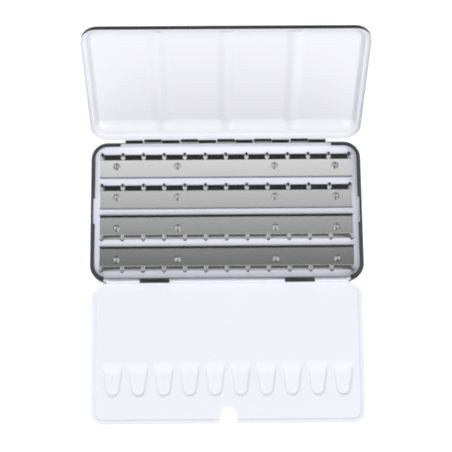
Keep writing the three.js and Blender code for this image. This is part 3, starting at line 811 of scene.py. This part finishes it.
def small_well_depth(x, y):
    """How deep the small wells are at a point of the leaf's field."""
    bend = SMALL_WELL_FRONT - SMALL_WELL_FRONT_RADIUS
    middle = (SMALL_WELLS - 1) / 2
    i = min(max(round(x / SMALL_WELL_PITCH + middle), 0), SMALL_WELLS - 1)
    from_centre = abs(x - (i - middle) * SMALL_WELL_PITCH)
    along = (y - SMALL_WELL_REAR) / (bend - SMALL_WELL_REAR)
    if along <= 0:
        return 0.0
    if y < bend:
        half = SMALL_WELL_REAR_HALF + (SMALL_WELL_FRONT_RADIUS - SMALL_WELL_REAR_HALF) * along
        edge = half - from_centre
    else:
        edge = SMALL_WELL_FRONT_RADIUS - math.hypot(from_centre, y - bend)
    ramp = smooth(min(along, 1) / SMALL_WELL_RAMP)
    return SMALL_WELL_DEPTH * ramp * smooth(edge / SMALL_WELL_WALL)


def leaf_field_height(x, y):
    """The leaf's working face when closed, above the hinge axis."""
    return LEDGE_UNDER + FIELD_STEP + small_well_depth(x, y)


def notch_half_width(y):
    """Half the thumb notch's width at a distance from the hinge."""
    radius = NOTCH_WIDTH / 2
    below = NOTCH_START + radius - y
    if below <= 0:
        return radius
    return math.sqrt(max(radius * radius - below * below, 0))


def ledge_half_width(y):
    """The ledge's half width beside the hinge, eased there to clear the lid's corner."""
    inside = CORNER_RADIUS - SHEET - CLEARANCE
    before = CORNER_RADIUS - HALF_DEPTH - LEAF_AXIS.y - y
    if before <= 0:
        return LEAF_HALF_WIDTH
    limit = HALF_WIDTH - CORNER_RADIUS + math.sqrt(inside * inside - before * before)
    return min(LEAF_HALF_WIDTH, limit)


def beside_notch(x, y, drawn):
    """Moves a grid point's x aside for the notch, whose sides are first drawn at a set column."""
    away = abs(x) - drawn
    if y < NOTCH_START - 1e-6 or away > NOTCH_REACH:
        return x
    if away < -1e-6:
        return x * notch_half_width(y) / drawn
    moved = abs(x) + (notch_half_width(y) - drawn) * (1 - smooth(away / NOTCH_REACH))
    return math.copysign(moved, x)


def leaf_field():
    """The leaf's sunken field with the notch cut out, and its rim."""
    rear_radius = FIELD_REAR_RADIUS - FIELD_SLOPE
    field = RoundedRectangle(
        LEAF_HALF_WIDTH - LEDGE_WIDTH - FIELD_SLOPE,
        FIELD_REAR + FIELD_SLOPE,
        LEAF_LENGTH - LEDGE_WIDTH - FIELD_SLOPE,
        rear_radius,
        FIELD_FRONT_RADIUS - FIELD_SLOPE,
    )
    rear_centre = FIELD_REAR + FIELD_REAR_RADIUS
    ledge_row = rear_centre - (rear_centre - LEDGE_START) * rear_radius / FIELD_REAR_RADIUS
    radius = NOTCH_WIDTH / 2
    steps = 10
    turns = [math.radians(90 * k / steps) for k in range(steps + 1)]
    rows = field.rows(
        spaced(10, SMALL_WELL_REAR - 2, 4)
        + spaced(SMALL_WELL_REAR, SMALL_WELL_FRONT + 1, 0.6)
        + [SMALL_WELL_FRONT + 3]
        + [NOTCH_START + radius * (1 - math.cos(turn)) for turn in turns],
        arc_steps=steps,
    )
    rows = sorted(rows + [ledge_row])
    wide = 350
    notch_columns = 11
    columns = [2 * c / wide - 1 for c in range(wide + 1)]
    verts, faces, rim = sheet_grid(field, rows, columns, leaf_field_height)
    share = 2 * notch_columns / wide
    verts = [(beside_notch(x, y, share * field.half_width_at(y)), y, z) for x, y, z in verts]
    cut = range(wide // 2 - notch_columns, wide // 2 + notch_columns)
    notched = set()
    for r, y in enumerate(rows[:-1]):
        if y > NOTCH_START - 1e-6:
            notched.update(r * wide + c for c in cut)
    return verts, [face for i, face in enumerate(faces) if i not in notched], rim


def build_leaf():
    """Drawn closed. Its working face looks down then, so its faces are turned to point down."""
    verts, faces, rim = leaf_field()
    rear_centre = FIELD_REAR + FIELD_REAR_RADIUS
    ledge_end = LEDGE_START - 1e-4

    def off_notch(a, b):
        return a.y < NOTCH_START or abs(a.x + b.x) > NOTCH_WIDTH

    def beside_ledge(a, b):
        return min(a.y, b.y) > ledge_end and off_notch(a, b)

    def behind_field(a, b):
        return max(a.y, b.y) < FIELD_REAR + 0.01

    def ledge_point(point, outward, distance):
        if point.y > rear_centre:
            return point + outward * distance
        reach = ledge_half_width(point.y) - abs(point.x)
        return point + Vector((math.copysign(reach * distance / LEDGE_WIDTH, point.x), 0, 0))

    steps = 7
    slope = [(FIELD_SLOPE * k / steps, LEDGE_UNDER + FIELD_STEP * (1 - smooth(k / steps)))
             for k in range(1, steps + 1)]
    ledge = [(distance, LEDGE_UNDER) for distance in (0.8, 2.0, LEDGE_WIDTH)]
    apron = [(0, z) for z in (3.6, 2.6, 1.7)]
    rim = add_rings(verts, faces, rim, slope, keep=off_notch)
    add_rings(verts, faces, rim, ledge, keep=beside_ledge, place=ledge_point)
    add_rings(verts, faces, rim, apron, keep=behind_field)
    faces = [tuple(reversed(face)) for face in faces]
    leaf = make_piece("leaf_sheet", verts, faces, [white_leaf_painted_light], "leaf",
                      turn=hinge_turn(LEAF_AXIS, LEAF_SWING))
    weld(leaf)
    thicken(leaf, LEAF_SHEET)
    soften(leaf, 40)
    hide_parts("mixing_leaf")


def build_leaf_barrel():
    """The curls round the pin, each carried on from the sheet behind it."""
    gap = 0.3
    inner = LEAF_KNUCKLE_CENTRE - LEAF_KNUCKLE_WIDTH / 2 - gap
    outer = LEAF_KNUCKLE_CENTRE + LEAF_KNUCKLE_WIDTH / 2 + gap
    near = FIELD_REAR + 0.002
    far = FIELD_REAR + LEAF_SHEET
    tail = 2.2
    loop = [(near, tail), (near, 0.7)]
    loop += arc(0, 0, LEAF_BARREL_RADIUS, 45, 352, 30)
    loop += [(far, 0.3), (far, tail)]
    spans = [(-APRON_HALF, -outer), (-inner, inner), (outer, APRON_HALF)]
    verts, faces = merge([softened_bar(loop, *span) for span in spans])
    barrel = make_piece("leaf_barrel", verts, faces, [white_leaf_painted_light], "leaf",
                        turn=hinge_turn(LEAF_AXIS, LEAF_SWING))


# ---- Rails ---------------------------------------------------------------------------------


def flange_height(y):
    """The sloped flange: a crisp fold at its foot, then steeper and steeper up to its edge."""
    past = min(max(y - FLANGE_FOOT, 0), FLANGE_EDGE - FLANGE_FOOT)
    growth = (FLANGE_END_SLOPE - FLANGE_START_SLOPE) / (FLANGE_EDGE - FLANGE_FOOT) ** 2
    return FLANGE_START_SLOPE * past + growth * past ** 3 / 3


def flange_edge(across):
    """The fluted flange's edge swells out round each flute's end."""
    swell = math.sqrt(max(1 - (across / FLUTE_TIP_HALF) ** 2, 0))
    return max(FLANGE_EDGE, FLANGE_EDGE - FLUTE_TIP_HALF + (FLUTE_TIP_HALF + FLUTE_REACH) * swell)


def fluted_height(across, y):
    """The upper face over the rail's floor, with round channels pressed through the flange."""
    along = min(max((y - FLANGE_FOOT) / (FLUTE_CAP_START - FLANGE_FOOT), 0), 1)
    half = FLUTE_ROOT_HALF + (FLUTE_TIP_HALF - FLUTE_ROOT_HALF) * along
    side = FLUTE_SIDE_RISE * (across / half) ** 3
    ahead = max(y - FLUTE_CAP_START, 0) / (FLANGE_EDGE + FLUTE_REACH - FLUTE_CAP_START)
    cap = FLUTE_END_RISE * ahead ** 1.5
    if y > FLANGE_EDGE:
        return max(cap, min(side, FLUTE_END_RISE))
    return min(flange_height(y), max(side, cap))


def rail_columns(half_length):
    """Places along the rail for its sections: close together over the flutes."""
    flute_half = 3.3
    flute_step = 0.22
    beside_flute = 5.5
    xs = []
    for i in range(-CELLS // 2, CELLS // 2 + 1):
        centre = i * CELL_PITCH
        xs += spaced(centre - flute_half, centre + flute_half, flute_step)
        xs += [centre + away for away in (beside_flute, CELL_PITCH / 2, CELL_PITCH - beside_flute)]
    inside = [x for x in xs if abs(x) < half_length - 0.1]
    return [-half_length] + inside + [half_length]


def rail_section(x):
    """The upper face, from the plain flange's top over the floor to the fluted flange's edge."""
    across = abs(x - round(x / CELL_PITCH) * CELL_PITCH)
    edge = flange_edge(across)
    inner = RAIL_SHEET + RAIL_BEND
    start = FLANGE_FOOT - 0.3
    count = 24
    upper = [(RAIL_SHEET, PLAIN_FLANGE), (RAIL_SHEET, inner + 1)]
    upper += [(inner - a, inner - b) for a, b in arc(0, 0, RAIL_BEND, 0, 90, 5)]
    upper += [(y, RAIL_SHEET) for y in (inner + 0.2, FLANGE_FOOT / 2, FLANGE_FOOT - 0.6)]
    for k in range(count + 1):
        y = start + (edge - start) * k / count
        upper.append((y, RAIL_SHEET + fluted_height(across, y)))
    return upper


def rail_under(upper):
    """The lower face: the same sheet, one thickness down and round the plain flange's bend."""
    outer = RAIL_SHEET + RAIL_BEND
    under = [(0, PLAIN_FLANGE), (0, outer + 1)]
    under += [(outer - a, outer - b) for a, b in arc(0, 0, outer, 0, 90, 5)]
    under += [(y, z - RAIL_SHEET) for y, z in upper if y > outer + 0.1]
    return under


def build_rail(number):
    """Rails 1 and 2, at the back, have their plain flange in front, and rails 3 and 4 behind."""
    node = f"pan_rail_{number}"
    low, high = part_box(node)
    plain_at_front = number <= RAILS / 2
    plain_y = (low.y if plain_at_front else high.y) / MM
    way = 1 if plain_at_front else -1
    sections = []
    for x in rail_columns(high.x / MM):
        upper = rail_section(x)
        loop = upper + list(reversed(rail_under(upper)))
        sections.append((x, [(plain_y + way * y, low.z / MM + z) for y, z in loop]))
    verts, faces = swept_bar(sections)
    if plain_at_front:
        faces = [tuple(reversed(face)) for face in faces]
    sides = len(sections[0][1])
    upper_sides = len(rail_section(0))
    end_faces = (len(sections) - 1) * sides
    # The upper faces, the fluted edge and the ends take the bright steel. The under side, with the
    # plain flange's outer face and top edge, takes the darker copy as painted shade.
    slots = [0 if f % sides < upper_sides or f >= end_faces else 1 for f in range(len(faces))]
    rail = make_piece(f"rail_{number}", verts, faces, [rail_steel, rail_steel_painted_shade], "base", slots,
                      sharp=50)
    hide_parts(node)


# ---- Rivets --------------------------------------------------------------------------------


def build_rivet(row, place):
    """A low round head with a ring, a hollow and a small nub in its middle, on a plain shank."""
    node = f"rail_{row}_rivet_{place}"
    low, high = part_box(node)
    centre = (low + high) / 2 / MM
    radius = (high.x - low.x) / 2 / MM
    seat = high.z / MM - RIVET_HEAD_HEIGHT
    brim_start = radius - RIVET_BRIM_WIDTH
    brim_top = RIVET_HEAD[-1][1]
    profile = [(reach, seat + rise) for reach, rise in RIVET_HEAD]
    profile += [(brim_start + RIVET_BRIM_STEP * k, seat + brim_top - RIVET_BRIM_FALL * k)
                for k in range(1, RIVET_BRIM_STEPS + 1)]
    profile += [(radius - 0.02, seat), (RIVET_SHANK_RADIUS, seat)]
    profile += [(RIVET_SHANK_RADIUS, low.z / MM), (0, low.z / MM)]
    verts = [(centre.x, centre.y, profile[0][1]), (centre.x, centre.y, profile[-1][1])]
    rings = []
    for reach, z in profile[1:-1]:
        rings.append(len(verts))
        for k in range(RIVET_SIDES):
            a = 2 * math.pi * k / RIVET_SIDES
            verts.append((centre.x + reach * math.cos(a), centre.y + reach * math.sin(a), z))
    faces = []
    for k in range(RIVET_SIDES):
        after = (k + 1) % RIVET_SIDES
        faces.append((0, rings[0] + k, rings[0] + after))
        for inner, outer in zip(rings, rings[1:]):
            faces.append((inner + k, outer + k, outer + after, inner + after))
        faces.append((1, rings[-1] + after, rings[-1] + k))
    rivet = make_piece(f"rivet_{row}_{place}", verts, faces, [rivet_steel], "base", sharp=60)
    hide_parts(node)


# ---- Stage ---------------------------------------------------------------------------------

# The camera looks down at the tin from the front. Its angles are down from level, to the right
# of straight back, and round its own line of sight.
CAMERA_PLACE = Vector((-10.16, -199.41, 912.18))
CAMERA_DOWN = math.radians(78.27)
CAMERA_YAW = math.radians(2.93)
CAMERA_ROLL = math.radians(2.43)
CAMERA_LENS = 90.68
CAMERA_SENSOR = 36

FLOOR_REACH = 3000
FLOOR_LEVEL = -0.2
FLOOR_GLOW = 0.75

# What glossy surfaces mirror: a soft box on each side, a band behind and dark between them.
SIDE_LEFT = 1.05
SIDE_RIGHT = 1.25
BAND_BEHIND = 2.6
DARK_LEVEL = 0.045

# What falls on every surface: an even glow, and one wide lamp from the front that no surface
# mirrors.
AMBIENT_LEVEL = 0.42
KEY_STRENGTH = 2.3
KEY_SPREAD = math.radians(45)
KEY_FROM = Vector((0.10, -0.36, 0.92))

# How wide each pixel's sample reaches, in pixels: it softens the picture's edges.
PIXEL_BLUR = 2.0


def build_camera():
    """Points the camera by its three angles."""
    forward = Vector((
        math.sin(CAMERA_YAW) * math.cos(CAMERA_DOWN),
        math.cos(CAMERA_YAW) * math.cos(CAMERA_DOWN),
        -math.sin(CAMERA_DOWN),
    ))
    level = Vector((math.cos(CAMERA_YAW), -math.sin(CAMERA_YAW), 0))
    over = level.cross(forward)
    right = level * math.cos(CAMERA_ROLL) + over * math.sin(CAMERA_ROLL)
    up = over * math.cos(CAMERA_ROLL) - level * math.sin(CAMERA_ROLL)
    turn = Matrix((right, up, -forward)).transposed().to_4x4()
    data = bpy.data.cameras.new("camera")
    data.lens = CAMERA_LENS
    data.sensor_width = CAMERA_SENSOR
    camera = bpy.data.objects.new("camera", data)
    camera.matrix_world = Matrix.Translation(CAMERA_PLACE * MM) @ turn
    bpy.context.scene.collection.objects.link(camera)
    bpy.context.scene.camera = camera


def build_floor():
    """A large matt floor just below the tin, with a glow of its own so that it stays pale."""
    nodes = MaterialNodes("pale_floor")
    shade = nodes.noise(nodes.millimetres(), scale=0.004, detail=2)
    nodes.drive("Base Color", nodes.tint(shade, (0.60, 0.60, 0.60), (0.62, 0.62, 0.62)))
    nodes.drive("Roughness", 0.9)
    nodes.drive("Specular IOR Level", 0.1)
    nodes.shader.inputs["Emission Color"].default_value = (1, 1, 1, 1)
    nodes.drive("Emission Strength", FLOOR_GLOW)
    corners = [(-1, -1), (1, -1), (1, 1), (-1, 1)]
    points = [Vector((x * FLOOR_REACH, y * FLOOR_REACH, FLOOR_LEVEL)) * MM for x, y in corners]
    mesh = bpy.data.meshes.new("floor")
    mesh.from_pydata(points, [], [(0, 1, 2, 3)])
    mesh.materials.append(nodes.material)
    floor = bpy.data.objects.new("floor", mesh)
    bpy.context.scene.collection.objects.link(floor)


def studio_pattern(nodes):
    """The light that glossy surfaces mirror, by direction: soft boxes, band and dark ceiling."""
    coordinates = nodes.add("ShaderNodeTexCoord")
    axes = nodes.add("ShaderNodeSeparateXYZ")
    nodes.feed(coordinates.outputs["Generated"], axes.inputs["Vector"])
    right, back, up = axes.outputs

    def soft(value, start, end, low, high):
        return nodes.ramp(value, start, end, low, high, "SMOOTHSTEP")

    def times(first, second):
        return nodes.calculate("MULTIPLY", first, second)

    sideways = nodes.calculate("ABSOLUTE", right, 0)
    beside = soft(sideways, 0.22, 0.40, 0, 1)
    above_horizon = soft(up, 0.10, 0.45, 0.12, 1)
    toward_front = soft(back, -0.75, 0.10, 1.55, 1)
    overhead = soft(up, 0.70, 0.90, 1, 1.5)
    boxes = times(times(beside, above_horizon), times(toward_front, overhead))
    boxes = times(boxes, soft(right, -0.7, 0.7, SIDE_LEFT, SIDE_RIGHT))

    between = soft(sideways, 0.22, 0.40, 1, 0)
    rise = nodes.ramp(back, 0.165, 0.325, 0, 1)
    fall = soft(back, 0.32, 0.40, 1, 0.06)
    band = times(times(between, times(rise, fall)), BAND_BEHIND)
    return nodes.calculate("ADD", nodes.calculate("ADD", boxes, band), DARK_LEVEL)


def build_world():
    """A studio whose pattern only glossy rays see, while all others see an even glow."""
    world = bpy.data.worlds.new("studio")
    bpy.context.scene.world = world
    world.use_nodes = True
    nodes = NodeTree(world.node_tree)
    glossy = nodes.add("ShaderNodeLightPath").outputs["Is Glossy Ray"]
    mirrored = nodes.calculate("MULTIPLY", studio_pattern(nodes), glossy)
    others = nodes.calculate("SUBTRACT", 1, glossy)
    ambient = nodes.calculate("MULTIPLY", others, AMBIENT_LEVEL)
    background = nodes.tree.nodes["Background"]
    background.inputs["Color"].default_value = (1, 1, 1, 1)
    nodes.feed(nodes.calculate("ADD", mirrored, ambient), background.inputs["Strength"])


def build_key_lamp():
    """One wide lamp from above the front, left out of every reflection."""
    lamp = bpy.data.lights.new("key", "SUN")
    lamp.energy = KEY_STRENGTH
    lamp.angle = KEY_SPREAD
    key = bpy.data.objects.new("key", lamp)
    key.rotation_mode = "QUATERNION"
    key.rotation_quaternion = KEY_FROM.to_track_quat("Z", "Y")
    key.visible_glossy = False
    bpy.context.scene.collection.objects.link(key)


# ---- The whole tin -------------------------------------------------------------------------

build_base()
build_front_wall()
build_lid_knuckles()
build_leaf_knuckles()
build_pin("lid_pin", "lid_hinge_pin")
build_pin("leaf_pin", "leaf_hinge_pin")
build_lid()
build_leaf()
build_leaf_barrel()
for rail_number in range(1, RAILS + 1):
    build_rail(rail_number)
    for rivet_number in range(1, RIVETS_PER_RAIL + 1):
        build_rivet(rail_number, rivet_number)

build_floor()
build_world()
build_key_lamp()
build_camera()
bpy.context.scene.view_settings.view_transform = "Standard"
bpy.context.scene.cycles.filter_width = PIXEL_BLUR
